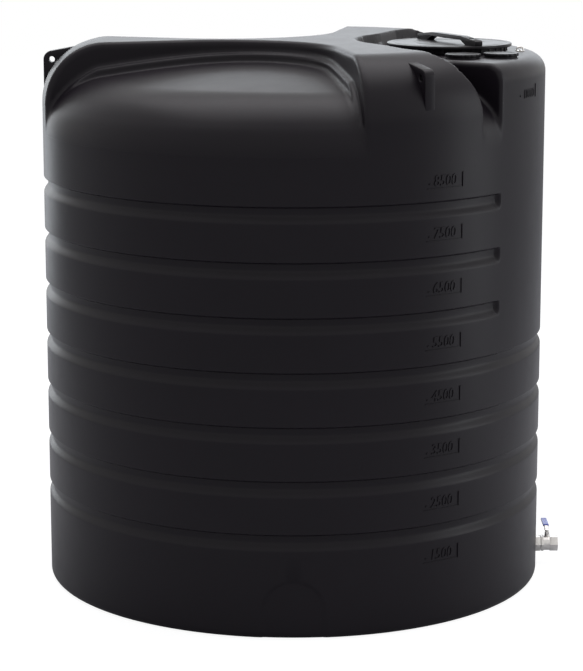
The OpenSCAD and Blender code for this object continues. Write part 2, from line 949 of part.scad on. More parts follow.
// Steel strip with a step up from the stem to the grip
module lever() {
  step_y = lever_bend_y + lever_rise;
  color(steel)
    translate([ball_x, 0, outlet_z + lever_z])
      difference() {
        rotate([90, 0, 90])
          linear_extrude(lever_w, center = true)
            polygon([
              [-lever_w/2 - 1, 0], [lever_bend_y, 0], [step_y, lever_rise], [lever_l, lever_rise],
              [lever_l, lever_rise + lever_t], [step_y - 1.2, lever_rise + lever_t],
              [lever_bend_y - 1.2, lever_t], [-lever_w/2 - 1, lever_t]
            ]);
        translate([0, 0, -1])
          cylinder(r = stem_r - 2 + 0.1, h = lever_t + 2);
      }
}

module lever_sleeve() {
  sleeve_y = lever_l - sleeve_l + sleeve_t;
  color(blue_vinyl)
    translate([ball_x, 0, outlet_z + lever_z + lever_rise])
      difference() {
        translate([-lever_w/2 - sleeve_t, sleeve_y, -sleeve_t])
          cube([lever_w + 2*sleeve_t, sleeve_l, lever_t + 2*sleeve_t]);
        translate([-lever_w/2, sleeve_y - 1, 0])
          cube([lever_w, sleeve_l - sleeve_t + 1, lever_t]);
      }
}

module lever_nut() {
  color(steel)
    translate([ball_x, 0, outlet_z + lever_z + lever_t])
      difference() {
        cylinder(r = stem_r + 2, h = lever_nut_h, $fn = 6);
        translate([0, 0, -1])
          cylinder(r = stem_r - 2 + 0.1, h = lever_nut_h + 2);
      }
}

tank_shell();
tank_crown();
tank_platform();
manway_neck();
manway_lid();
lid_seal();
grip_bar();
grip_bar_bolts();
grip_bar_nuts();
port_insert(0);  // port_insert_a
port_insert(1);  // port_insert_b
port_nut(0);  // port_nut_a
port_nut(1);  // port_nut_b
port_seal(0);  // port_seal_a
port_seal(1);  // port_seal_b
port_cap(0);  // port_cap_a
port_cap(1);  // port_cap_b
padlock_staple();
staple_screws();
outlet_flange();
outlet_inner_gasket();
outlet_outer_gasket();
outlet_nut();
valve_body();
valve_end_cap();
valve_ball();
ball_seat(-1);  // inner_ball_seat
ball_seat(1);  // outer_ball_seat
valve_stem();
stem_packing();
gland_nut();
lever();
lever_sleeve();
lever_nut();
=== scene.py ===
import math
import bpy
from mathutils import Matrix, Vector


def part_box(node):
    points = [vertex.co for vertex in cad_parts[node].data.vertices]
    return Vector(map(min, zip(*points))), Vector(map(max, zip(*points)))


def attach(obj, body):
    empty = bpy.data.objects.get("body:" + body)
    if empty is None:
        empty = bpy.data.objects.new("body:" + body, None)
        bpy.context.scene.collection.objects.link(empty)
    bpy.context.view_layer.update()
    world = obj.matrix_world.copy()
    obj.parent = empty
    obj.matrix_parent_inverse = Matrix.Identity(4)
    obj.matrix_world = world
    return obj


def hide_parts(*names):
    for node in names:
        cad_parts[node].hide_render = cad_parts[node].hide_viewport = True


bl_info = {
    "name": "Rainwater tank",
    "version": (1, 0, 0),
    "blender": (4, 5, 0),
    "location": "View3D > Sidebar > Tank",
    "description": "Builds the moulded shell, fittings and finishes of an upright rainwater tank",
    "category": "Add Mesh",
}

import bmesh
import bpy
import numpy as np
from bpy.props import FloatProperty, FloatVectorProperty, IntProperty, PointerProperty
from mathutils import Matrix, Vector

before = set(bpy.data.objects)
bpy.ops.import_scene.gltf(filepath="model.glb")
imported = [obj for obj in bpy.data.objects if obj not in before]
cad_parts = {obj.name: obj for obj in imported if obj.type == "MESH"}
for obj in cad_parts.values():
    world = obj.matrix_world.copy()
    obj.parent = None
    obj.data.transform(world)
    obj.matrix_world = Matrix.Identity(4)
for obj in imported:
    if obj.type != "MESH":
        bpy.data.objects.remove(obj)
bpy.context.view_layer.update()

# Where the manway and the ports stand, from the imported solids
LID_LOW, LID_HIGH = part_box("manway_lid")
MANWAY = Vector(((LID_LOW.x + LID_HIGH.x) / 2, (LID_LOW.y + LID_HIGH.y) / 2, 0))
PORT_PLACES = []
for port in ("port_cap_a", "port_cap_b"):
    port_low, port_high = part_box(port)
    PORT_PLACES.append(((port_low.x + port_high.x) / 2, (port_low.y + port_high.y) / 2))


def length(name, default, description):
    """A length in metres that a user may change"""
    return FloatProperty(name=name, description=description, default=default, min=0, unit="LENGTH")


def colour(name, default, description):
    """A colour that a user may change"""
    return FloatVectorProperty(name=name, description=description, default=default, subtype="COLOR")


class TankSizes(bpy.types.PropertyGroup):
    """Sizes of the moulded shell, in metres"""

    radius: length("Radius", 1.170, "Outside radius of the wall")
    wall: length("Wall", 0.009, "Thickness of the moulded wall")
    deck_z: length("Deck height", 2.535, "Height of the deck above the ground")
    deck_edge: length("Deck edge", 0.280, "Radius of the outer edge of the deck")
    base_edge: length("Base edge", 0.028, "Radius of the bottom edge of the wall")
    split_z: length("Crown height", 2.120, "Height where the wall ends and the crown starts")
    first_groove: length("First groove", 0.474, "Height of the upper edge of the lowest groove")
    band: length("Band", 0.240, "Height of one band, from groove to groove")
    groove_depth: length("Groove depth", 0.020, "Depth of a groove")
    groove_height: length("Groove height", 0.070, "Height of a groove at the wall's surface")
    groove_slope: length("Groove slope", 0.022, "Height of the sloping lower flank of a groove")
    ring_grooves: IntProperty(name="Ring grooves", description="Grooves that run all round", default=4)
    short_grooves: IntProperty(name="Short grooves", description="Grooves that stop at the tower", default=3)
    flat_width: length("Flat width", 0.280, "Width of the arched flats around the base")
    flat_height: length("Flat height", 0.265, "Height of the arched flats")
    flat_depth: length("Flat depth", 0.005, "Depth of the arched flats")
    recess_apex: length("Recess apex", 0.140, "Distance from the axis to the apex of a recess")
    recess_round: length("Recess rounding", 0.526, "Radius of the apex of a recess")
    ledge_width: length("Ledge width", 0.024, "Width of the ledge around a recess")
    ledge_height: length("Ledge height", 0.042, "Height of the ledge above the recess floor")
    floor_z: length("Recess floor", 2.437, "Height of the recess floor at the tank's axis")
    floor_curve: length("Floor curvature", 6.9, "Radius of curvature of the recess floor")
    shoulder_start: length("Shoulder start", 0.912, "Radius where the floor turns down")
    shoulder_drop: length("Shoulder drop", 0.188, "Height that the shoulder falls")
    tower_z: length("Platform height", 2.480, "Height of the platform that carries the lid")
    tower_edge: length("Platform edge", 0.080, "Radius of the outer edge of the platform")
    step_radius: length("Step radius", 0.430, "Radius of the round step around the lid")
    manway_radius: length("Manway radius", 0.240, "Clear radius of the manway")
    port_radius: length("Port radius", 0.062, "Radius of a port's hole")
    outlet_radius: length("Outlet radius", 0.0242, "Radius of the outlet's hole in the wall")


class TankFinish(bpy.types.PropertyGroup):
    """Colours and gloss of the materials"""

    plastic: colour("Plastic", (0.0062, 0.0046, 0.0068), "Colour of the moulded plastic")
    plastic_rough: FloatProperty(name="Plastic roughness", description="How dull it is", default=0.40)
    fitting: colour("Fittings", (0.0064, 0.0054, 0.0070), "Colour of the lid and the caps")
    steel: colour("Steel", (0.60, 0.58, 0.56), "Colour of the stainless steel")
    sleeve: colour("Sleeve", (0.012, 0.045, 0.42), "Colour of the lever's sleeve")
    rubber: colour("Rubber", (0.012, 0.012, 0.013), "Colour of the seals")
    seat: colour("Ball seats", (0.80, 0.80, 0.76), "Colour of the ball's seats")


class Wire:
    """Holds an output socket, so that Python's operators add Math nodes"""

    def __init__(self, net, socket):
        self.net = net
        self.socket = socket

    def do(self, operation, *others):
        return self.net.add("ShaderNodeMath", {"operation": operation}, [self, *others])

    def __add__(self, other):
        return self.do("ADD", other)

    def __mul__(self, other):
        return self.do("MULTIPLY", other)

    def __sub__(self, other):
        return self.do("SUBTRACT", other)

    def __truediv__(self, other):
        return self.do("DIVIDE", other)

    def __rsub__(self, other):
        return self.net.add("ShaderNodeMath", {"operation": "SUBTRACT"}, [other, self])

    __radd__ = __add__
    __rmul__ = __mul__


class Net:
    """Adds nodes to one tree and joins them"""

    def __init__(self, tree):
        self.tree = tree

    def add(self, kind, settings=None, values=None, out=0):
        """Adds a node with its settings, then the values or links of its sockets, and returns an output"""
        node = self.tree.nodes.new(kind)
        for key, value in (settings or {}).items():
            setattr(node, key, value)
        pairs = (values or {}).items() if isinstance(values, dict) else enumerate(values or [])
        for key, value in pairs:
            socket = node.inputs[key]
            if isinstance(value, Wire):
                self.tree.links.new(value.socket, socket)
            else:
                socket.default_value = value
        return Wire(self, node.outputs[out]) if node.outputs else None

    def smooth(self, value, low, high):
        """A value that goes smoothly from 0 at low to 1 at high"""
        settings = {"interpolation_type": "SMOOTHSTEP"}
        return self.add("ShaderNodeMapRange", settings, {"Value": value, "From Min": low, "From Max": high})

    def blend_colours(self, share, first, second):
        """A colour between two others"""
        return self.add("ShaderNodeMix", {"data_type": "RGBA"}, {0: share, 6: first, 7: second}, out=2)


# Materials


def new_material(name):
    """A material with an empty tree and its net"""
    material = bpy.data.materials.new(name)
    material.use_nodes = True
    material.node_tree.nodes.clear()
    return material, Net(material.node_tree)


def noise(net, scale, detail=2.0, rough=0.5):
    """Noise on Object coordinates"""
    place = net.add("ShaderNodeTexCoord", out="Object")
    values = {"Vector": place, "Scale": scale, "Detail": detail, "Roughness": rough}
    return net.add("ShaderNodeTexNoise", None, values)


def rgba(base, factor=1.0):
    """A colour with its alpha, made lighter or darker by a factor"""
    return (*[min(1.0, part * factor) for part in base], 1.0)


def shade(net, tone, rough, bump, **constants):
    """Ends a tree in a Principled shader"""
    values = {"Base Color": tone, "Roughness": rough, "Normal": bump}
    values.update({key.replace("_", " "): value for key, value in constants.items()})
    surface = net.add("ShaderNodeBsdfPrincipled", None, values)
    net.add("ShaderNodeOutputMaterial", None, {"Surface": surface})


def bump_of(net, height, distance, strength=1.0, under=None):
    """A bump of a height, on top of another bump where one is given"""
    values = {"Height": height, "Distance": distance, "Strength": strength}
    if under is not None:
        values["Normal"] = under
    return net.add("ShaderNodeBump", None, values)


def moulded_plastic(name, base, rough, wave_height, grain_height):
    """Rotomoulded plastic: slow waves of the wall, a fine orange peel, and faint mottling"""
    material, net = new_material(name)
    mottle = noise(net, 1.7, 5.0, 0.6)
    cloud = noise(net, 14.0, 4.0, 0.6)
    grain = noise(net, 330.0, 3.0, 0.6)
    wave = noise(net, 4.5, 1.0, 0.4)
    scuff = net.smooth(noise(net, 38.0, 6.0, 0.72), 0.58, 0.74)
    tone = net.blend_colours(mottle, rgba(base, 0.80), rgba(base, 1.25))
    tone = net.blend_colours(scuff * 0.25, tone, rgba(base, 2.2))
    gloss = rough + (mottle - 0.5) * 0.07 + (cloud - 0.5) * 0.06 + (grain - 0.5) * 0.05 + scuff * 0.05
    slow = bump_of(net, wave, wave_height)
    fine = bump_of(net, grain, grain_height, 0.6, slow)
    shade(net, tone, gloss, fine, Specular_IOR_Level=0.16)
    return material


def rubber_material(name, base):
    """Dull black rubber with a fine grain"""
    material, net = new_material(name)
    fine = noise(net, 600.0, 3.0, 0.6)
    tone = net.blend_colours(noise(net, 30.0, 4.0), rgba(base, 0.7), rgba(base, 1.5))
    shade(net, tone, 0.68 + (fine - 0.5) * 0.12, bump_of(net, fine, 0.0002, 0.5), Specular_IOR_Level=0.3)
    return material


def steel_material(name, base, rough, cast):
    """Stainless steel: fine turning lines, or the sandy skin of a casting"""
    material, net = new_material(name)
    broad = noise(net, 60.0, 4.0, 0.6)
    skin = noise(net, 900.0 if cast else 420.0, 4.0, 0.65)
    stain = net.smooth(noise(net, 25.0, 5.0, 0.6), 0.52, 0.75)
    tone = net.blend_colours(broad, rgba(base, 0.86), rgba(base, 1.10))
    tone = net.blend_colours(stain * 0.35, tone, rgba((0.42, 0.38, 0.33)))
    gloss = rough + (broad - 0.5) * 0.14 + (skin - 0.5) * 0.10 + stain * 0.08
    height = 0.00025 if cast else 0.00006
    shade(net, tone, gloss, bump_of(net, skin, height, 0.7), Metallic=1.0)
    return material


def sleeve_material(name, base):
    """Soft vinyl, dipped: glossy with slow runs"""
    material, net = new_material(name)
    run = noise(net, 45.0, 2.0, 0.5)
    fine = noise(net, 700.0, 2.0, 0.5)
    tone = net.blend_colours(noise(net, 80.0, 3.0), rgba(base, 0.85), rgba(base, 1.15))
    dips = bump_of(net, fine, 0.00008, 0.5, bump_of(net, run, 0.0006, 0.6))
    shade(net, tone, 0.26 + (run - 0.5) * 0.10, dips, Specular_IOR_Level=0.5)
    return material


def seat_material(name, base):
    """White seat plastic, smooth"""
    material, net = new_material(name)
    fine = noise(net, 500.0, 3.0, 0.5)
    tone = net.blend_colours(fine, rgba(base, 0.94), rgba(base, 1.04))
    shade(net, tone, 0.42 + (fine - 0.5) * 0.1, bump_of(net, fine, 0.0001, 0.4), Specular_IOR_Level=0.4)
    return material


MATERIALS = {}


# Meshes and pieces


def mesh_of(name, points, faces):
    """A mesh of points and faces"""
    mesh = bpy.data.meshes.new(name)
    mesh.from_pydata([tuple(map(float, p)) for p in points], [], [tuple(map(int, f)) for f in faces])
    mesh.update()
    return mesh


def object_of(name, mesh):
    """A mesh as an object in the scene"""
    piece = bpy.data.objects.new(name, mesh)
    bpy.context.scene.collection.objects.link(piece)
    return piece


def settle(piece):
    """Applies the piece's modifiers, so that it holds a plain mesh"""
    graph = bpy.context.evaluated_depsgraph_get()
    graph.update()
    mesh = bpy.data.meshes.new_from_object(piece.evaluated_get(graph), depsgraph=graph)
    old = piece.data
    piece.modifiers.clear()
    piece.data = mesh
    mesh.name = piece.name
    if old.users == 0:
        bpy.data.meshes.remove(old)
    return piece


def soften_shading(mesh, sharp_deg):
    """Smooth shading with creases where the surface turns by more than an angle"""
    work = bmesh.new()
    work.from_mesh(mesh)
    limit = math.radians(sharp_deg)
    for face in work.faces:
        face.smooth = True
    for edge in work.edges:
        edge.smooth = len(edge.link_faces) != 2 or edge.calc_face_angle(0.0) < limit
    work.to_mesh(mesh)
    work.free()


def dress(piece, body, finish, replaced=(), sharp_deg=38):
    """Shades a finished piece, gives it its material and puts it on its body"""
    soften_shading(piece.data, sharp_deg)
    piece.data.materials.clear()
    piece.data.materials.append(MATERIALS[finish])
    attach(piece, body)
    if replaced:
        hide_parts(*replaced)
    return piece


def bevelled(piece, width, segments=2):
    """Rounds the sharp edges of a piece"""
    bevel = piece.modifiers.new("edges", "BEVEL")
    bevel.width = width
    bevel.segments = segments
    bevel.limit_method = "ANGLE"
    bevel.angle_limit = math.radians(32)
    return settle(piece)


def softened(name, node, body, finish, width, segments=2):
    """A copy of a CAD node with its edges rounded"""
    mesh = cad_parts[node].data.copy()
    mesh.name = name
    work = bmesh.new()
    work.from_mesh(mesh)
    bmesh.ops.remove_doubles(work, verts=work.verts, dist=1e-6)
    bmesh.ops.dissolve_limit(work, angle_limit=math.radians(0.5), verts=work.verts, edges=work.edges)
    work.to_mesh(mesh)
    work.free()
    return dress(bevelled(object_of(name, mesh), width, segments), body, finish, (node,))


def lathe(name, profile, steps, centre=(0.0, 0.0)):
    """A profile of radius and height turned about a vertical axis, into a ring or a solid"""
    points, faces, rows = [], [], []
    for r, z in profile:
        if r < 1e-7:
            rows.append([len(points)])
            points.append((centre[0], centre[1], z))
            continue
        rows.append(list(range(len(points), len(points) + steps)))
        for k in range(steps):
            turn = 2 * math.pi * k / steps
            points.append((centre[0] + r * math.cos(turn), centre[1] + r * math.sin(turn), z))
    solid = len(rows[0]) == 1
    pairs = list(zip(rows, rows[1:])) if solid else list(zip(rows, rows[1:] + rows[:1]))
    for low, high in pairs:
        for k in range(steps):
            n = (k + 1) % steps
            if len(low) == 1:
                faces.append((low[0], high[n], high[k]))
            elif len(high) == 1:
                faces.append((low[k], low[n], high[0]))
            else:
                faces.append((low[k], low[n], high[n], high[k]))
    return mesh_of(name, points, faces)


def facing_out(mesh):
    """Turns the faces of a closed mesh outwards"""
    work = bmesh.new()
    work.from_mesh(mesh)
    bmesh.ops.recalc_face_normals(work, faces=work.faces)
    work.to_mesh(mesh)
    work.free()
    return mesh


def rounded(points, radius, steps=3, closed=True):
    """A profile with its corners turned into arcs"""
    made = []
    count = len(points)
    for k in range(count):
        here = Vector(points[k])
        if not closed and k in (0, count - 1):
            made.append(tuple(here))
            continue
        back = Vector(points[k - 1]) - here
        ahead = Vector(points[(k + 1) % count]) - here
        reach = min(radius, back.length * 0.48, ahead.length * 0.48)
        first = here + back.normalized() * reach
        last = here + ahead.normalized() * reach
        for s in range(steps + 1):
            t = s / steps
            made.append(tuple(first * (1 - t) ** 2 + here * 2 * t * (1 - t) + last * t**2))
    return made


def run_tree(piece, tree, values):
    """Runs a geometry tree on a piece with its named inputs, and keeps the result"""
    modifier = piece.modifiers.new("shape", "NODES")
    modifier.node_group = tree
    inputs = {item.name: item for item in tree.interface.items_tree if item.in_out == "INPUT"}
    for name, value in values.items():
        modifier[inputs[name].identifier] = value
    return settle(piece)


def geometry_tree(name, lengths, counts=()):
    """A geometry tree with a mesh, named lengths and counts and a material as inputs"""
    tree = bpy.data.node_groups.new(name, "GeometryNodeTree")
    tree.interface.new_socket("Geometry", in_out="INPUT", socket_type="NodeSocketGeometry")
    for label in lengths:
        tree.interface.new_socket(label, in_out="INPUT", socket_type="NodeSocketFloat")
    for label in counts:
        tree.interface.new_socket(label, in_out="INPUT", socket_type="NodeSocketInt")
    tree.interface.new_socket("Material", in_out="INPUT", socket_type="NodeSocketMaterial")
    tree.interface.new_socket("Geometry", in_out="OUTPUT", socket_type="NodeSocketGeometry")
    net = Net(tree)
    labels = ("Geometry", *lengths, *counts, "Material")
    return tree, net, {label: net.add("NodeGroupInput", out=label) for label in labels}


def end_tree(net, shape, given):
    """Ends a geometry tree in real meshes with their material"""
    real = net.add("GeometryNodeRealizeInstances", None, {"Geometry": shape})
    done = net.add("GeometryNodeSetMaterial", None, {"Geometry": real, "Material": given["Material"]})
    net.add("NodeGroupOutput", None, [done])


# The wall

# Half the angle at the tower that the short grooves leave free
SHORT_GROOVE_DEG = 38.8


def grooved_wall_tree():
    """Pushes a plain cylinder in to make the grooves and the arched panels"""
    lengths = (
        "Radius", "First groove", "Band", "Groove depth", "Groove height", "Groove slope",
        "Tower half angle", "Flat width", "Flat height", "Flat depth",
    )
    tree, net, given = geometry_tree("grooved_wall", lengths, ("Ring grooves", "All grooves"))
    place = net.add("GeometryNodeInputPosition")
    inset = net.add("GeometryNodeInputNamedAttribute", {"data_type": "FLOAT"}, {"Name": "inset"})
    split = net.add("ShaderNodeSeparateXYZ", None, [place])
    x, y, z = [Wire(net, socket) for socket in split.socket.node.outputs]
    reach = (x * x + y * y).do("SQRT")
    azimuth = x.do("ARCTAN2", 0 - y)

    # Height above a groove's lower edge, and which groove it is
    soft, foot, brow, eave = 0.006, 0.012, 0.011, 0.002
    above = z - (given["First groove"] - given["Groove height"]) + soft
    number = (above / given["Band"]).do("FLOOR")
    local = above - number * given["Band"] - soft
    lip = given["Groove height"]
    below = net.smooth(local, -soft, given["Groove slope"] + foot)
    groove = below * (1 - net.smooth(local, lip - brow, lip + eave))

    # The upper grooves stop beside the tower
    past_tower = ((azimuth - math.pi / 2).do("ABSOLUTE") - given["Tower half angle"]) * given["Radius"]
    beside = net.smooth(past_tower, -0.004, 0.014)
    all_round = number.do("LESS_THAN", given["Ring grooves"] - 0.5)
    counted = number.do("GREATER_THAN", -0.5) * number.do("LESS_THAN", given["All grooves"] - 0.5)
    cut = groove * counted * (all_round + (1 - all_round) * beside) * given["Groove depth"]
    shrunk = (reach - cut) / reach

    # Shallow arched panels at every quarter turn
    quarter = math.pi / 2
    folded = (azimuth + math.pi / 4).do("WRAP", quarter, 0.0) - math.pi / 4
    radius = reach - cut
    aside = radius * folded.do("SINE")
    half = given["Flat width"] * 0.5
    rise = (z - (given["Flat height"] - half)).do("MAXIMUM", 0.0)
    from_edge = (aside * aside + rise * rise).do("SQRT") - half
    inside = 1 - net.smooth(from_edge, -0.007, 0.001)
    flattened = (radius - inside * given["Flat depth"]) / radius
    scale = shrunk * flattened
    moved = net.add("ShaderNodeCombineXYZ", None, [x * scale, y * scale, z])
    shaped = net.add("GeometryNodeSetPosition", None, {"Geometry": given["Geometry"], "Position": moved})
    end_tree(net, shaped, given)
    return tree


def wall_columns(count):
    """Azimuths round the wall, closer together at the panels and at the ends of the short grooves"""
    fine = np.linspace(-math.pi, math.pi, 20001)
    from_panel = np.abs((np.degrees(fine) + 45) % 90 - 45)
    from_end = np.abs(np.abs(np.degrees(fine) - 90) - SHORT_GROOVE_DEG - 0.3)
    weight = 1.0 + 1.5 * (from_panel < 8.0) + 1.5 * (from_end < 1.8)
    total = np.concatenate([[0], np.cumsum((weight[1:] + weight[:-1]) / 2)])
    return np.interp(np.arange(count) / count * total[-1], total, fine)


def wall_rows(size, inset, fine):
    """Radius and height of the rows of the wall, from the middle of the base up to the crown"""
    r0 = size.radius - inset
    edge = size.base_edge - inset
    rows = [(r0 * share, inset) for share in (0.25, 0.5, 0.75, 0.9)]
    steps = 7 if fine else 3
    for k in range(steps + 1):
        turn = math.pi / 2 * k / steps
        rows.append((r0 - edge + edge * math.sin(turn), inset + edge - edge * math.cos(turn)))
    if fine:
        heights = list(np.arange(0.036, size.flat_height + 0.006, 0.0062))
        offsets = (-0.082, -0.0765, -0.0735, -0.0705, -0.067, -0.062, -0.056, -0.050, -0.0455, -0.041,
                   -0.034, -0.0085, -0.006, -0.0045, -0.003, -0.0015, 0.0, 0.0015, 0.003, 0.007)
    else:
        heights = [0.08, 0.14, 0.20, 0.24, 0.275]
        offsets = (-0.078, -0.068, -0.048, -0.040, -0.006, 0.0, 0.006)
    # Rows by each groove, at heights from its upper edge
    for k in range(size.ring_grooves + size.short_grooves):
        heights += [size.first_groove + k * size.band + offset for offset in offsets]
        heights.append(size.first_groove + k * size.band + 0.08)
    heights.append(size.split_z)
    return rows + [(r0, z) for z in sorted(heights) if z > inset + edge + 0.002]


def grid_faces(rows, columns, start, turned=False):
    """Quads between rings of points that close round"""
    j = np.arange(columns)
    n = (j + 1) % columns
    faces = []
    for i in range(rows - 1):
        low, high = start + i * columns, start + (i + 1) * columns
        block = np.stack([low + j, low + n, high + n, high + j], axis=1)
        faces.extend((block[:, ::-1] if turned else block).tolist())
    return faces


def build_wall(size):
    """The grooved wall and the base as one closed wall of plastic"""
    columns, share = 440, 4
    outer_az = wall_columns(columns)
    inner_az = outer_az[::share]
    points, faces, inset = [], [], []
    outer = wall_rows(size, 0.0, True)
    inner = wall_rows(size, size.wall, False)
    for rows, azimuths, depth in ((outer, outer_az, 0.0), (inner, inner_az, size.wall)):
        for r, z in rows:
            points.extend(zip(r * np.sin(azimuths), -r * np.cos(azimuths), np.full(len(azimuths), z)))
            inset += [depth] * len(azimuths)
    second = len(outer) * columns
    narrow = columns // share
    faces += grid_faces(len(outer), columns, 0)
    faces += grid_faces(len(inner), narrow, second, True)
    # The middle of the base, below and inside
    for start, count, z, turned in ((0, columns, 0.0, False), (second, narrow, size.wall, True)):
        hub = len(points)
        points.append((0.0, 0.0, z))
        inset.append(z)
        for k in range(count):
            ring = (hub, start + (k + 1) % count, start + k)
            faces.append(ring[::-1] if turned else ring)
    faces += rim_faces(second - columns, columns, second + (len(inner) - 1) * narrow, share)
    mesh = mesh_of("tank_wall", points, faces)
    mesh.attributes.new("inset", "FLOAT", "POINT").data.foreach_set("value", np.array(inset, np.float32))
    piece = object_of("tank_wall", mesh)
    run_tree(piece, grooved_wall_tree(), {
        "Radius": size.radius, "First groove": size.first_groove, "Band": size.band,
        "Groove depth": size.groove_depth, "Groove height": size.groove_height,
        "Groove slope": size.groove_slope,
        "Tower half angle": math.radians(SHORT_GROOVE_DEG), "Flat width": size.flat_width,
        "Flat height": size.flat_height, "Flat depth": size.flat_depth, "Ring grooves": size.ring_grooves,
        "All grooves": size.ring_grooves + size.short_grooves, "Material": MATERIALS["shell"],
    })
    low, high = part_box("outlet_flange")
    middle = (size.radius, 0.0, (low.z + high.z) / 2)
    cut_hole(piece, middle, size.outlet_radius, 0.12, (0.0, math.pi / 2, 0.0))
    return dress(piece, "tank", "shell", ("tank_shell",), 50)


def rim_faces(outer_start, outer_count, inner_start, share):
    """Faces that join the last fine ring to the last coarse one, on top"""
    narrow = outer_count // share
    faces = []
    for k in range(narrow):
        ring = [outer_start + (k * share + s) % outer_count for s in range(share + 1)]
        faces.append((*ring, inner_start + (k + 1) % narrow, inner_start + k))
    return faces


def cut_hole(piece, centre, radius, depth, turn=(0.0, 0.0, 0.0)):
    """Takes a round hole out of a piece"""
    mesh = lathe("cutter", [(0, -depth), (radius, -depth), (radius, depth), (0, depth)], 72)
    facing_out(mesh)
    cutter = object_of("cutter", mesh)
    cutter.location = centre
    cutter.rotation_euler = turn
    cutter.hide_render = True
    bpy.context.view_layer.update()
    mesh.transform(cutter.matrix_world)
    cutter.matrix_world = Matrix.Identity(4)
    hole = piece.modifiers.new("hole", "BOOLEAN")
    hole.operation = "DIFFERENCE"
    hole.solver = "EXACT"
    hole.object = cutter
    settle(piece)
    bpy.data.objects.remove(cutter)


# The crown


def soft_min(a, b, k):
    """The lesser of two values, rounded off where they meet"""
    h = np.clip(k - np.abs(a - b), 0, None) / k
    return np.minimum(a, b) - h * h * k / 4


def soft_max(a, b, k):
    """The greater of two values, rounded off where they meet"""
    return -soft_min(-a, -b, k)


def polygon_distance(x, y, corners):
    """Distance to a polygon in plan, negative inside it"""
    best = np.full(x.shape, 1e9)
    inside = np.zeros(x.shape, bool)
    for (ax, ay), (bx, by) in zip(corners, corners[1:] + corners[:1]):
        ex, ey = bx - ax, by - ay
        t = np.clip(((x - ax) * ex + (y - ay) * ey) / (ex * ex + ey * ey), 0, 1)
        best = np.minimum(best, np.hypot(x - ax - t * ex, y - ay - t * ey))
        crosses = (ay > y) != (by > y)
        side = ax + (y - ay) * ex / (ey if ey else 1e-9)
        inside ^= crosses & (x < side)
    return np.where(inside, -best, best)


def crown_field(size):
    """A function that is about the distance to the crown's surface, negative in the plastic"""
    radius = size.radius
    manway = MANWAY.x
    # Corners of the arm's edge beside the platform, as shares of the radius
    arm_edge = [tuple(radius * v for v in p) for p in (
        (0.2906, -0.1624), (0.3598, -0.3120), (0.4291, -0.4880),
        (0.5222, -0.6385), (0.6171, -0.6863), (0.7137, -0.6923),
    )]
    far = 1.7

    def spoke(reach, degrees):
        return reach * math.sin(math.radians(degrees)), -reach * math.cos(math.radians(degrees))

    near_side = arm_edge + [spoke(far, 46.5)]
    platform = [(manway, 0.0)] + near_side + [(px, -py) for px, py in reversed(near_side)]
    notch = [
        spoke(radius - 0.270, 51), spoke(far, 51), spoke(far, 45.5),
        (arm_edge[5][0], arm_edge[5][1] - 0.012),
        (arm_edge[4][0] - 0.006, arm_edge[4][1] + 0.003),
        (arm_edge[3][0] + 0.039, arm_edge[3][1] + 0.047),
    ]
    recess_half = math.radians(40)
    # Widths over which the edges are rounded, in metres
    step_width, platform_bend = 0.016, 0.03
    ledge_foot, floor_foot = 0.018, 0.022
    notch_rim, recess_rim, ledge_rim = 0.018, 0.024, 0.014
    sine, cosine = math.sin(math.radians(60)), math.cos(math.radians(60))

    def block(r, z, top, edge):
        """A round block with a rounded top edge"""
        a, b = r - (radius - edge), z - (top - edge)
        return np.where((a > 0) & (b > 0), np.hypot(a, b), np.maximum(a, b)) - edge

    def field(x, y, z):
        y = -np.abs(y)
        r = np.hypot(x, y)
        arms = block(r, z, size.deck_z, size.deck_edge)
        tower = block(r, z, size.tower_z, size.tower_edge)
        round_step = np.hypot(x - manway, y) - size.step_radius
        plan = soft_min(round_step, polygon_distance(x, y, platform), platform_bend)
        # From the platform up onto the arms, over the step
        share = np.clip(plan / step_width + 0.5, 0, 1)
        solid = tower + (arms - tower) * share * share * (3 - 2 * share)

        # Floor of the recesses, as a distance along its own slope
        span = radius + 0.003 - size.shoulder_start
        share = np.clip((r - size.shoulder_start) / span, 0, 1)
        fall = size.shoulder_drop * (1 - np.sqrt(1 - share * share))
        gap = z - (size.floor_z - r * r / (2 * size.floor_curve) - fall)
        slope = r / size.floor_curve + size.shoulder_drop / span * share / np.sqrt(1.02 - share * share)
        lean = 1 / np.sqrt(1 + slope * slope)

        # A recess has a round apex and two straight sides, with a ledge that sinks near the wall
        along = -cosine * x - sine * y - size.recess_apex - size.recess_round
        across = np.abs(sine * x - cosine * y)
        straight = across * math.cos(recess_half) - along * math.sin(recess_half)
        ahead = along * math.cos(recess_half) + across * math.sin(recess_half) > 0
        recess = np.where(ahead, straight, np.hypot(along, across)) - size.recess_round
        ledge = size.ledge_height * np.clip((1.13 - r) / 0.20, 0, 1)
        upper = soft_max(recess, -(gap - ledge) * lean, ledge_foot)
        lower = soft_max(recess + size.ledge_width, -gap * lean, floor_foot)
        beside = soft_max(polygon_distance(x, y, notch), -gap * lean, floor_foot)
        solid = soft_max(solid, -beside, notch_rim)
        solid = soft_max(solid, -upper, recess_rim)
        return soft_max(solid, -lower, ledge_rim)

    return field


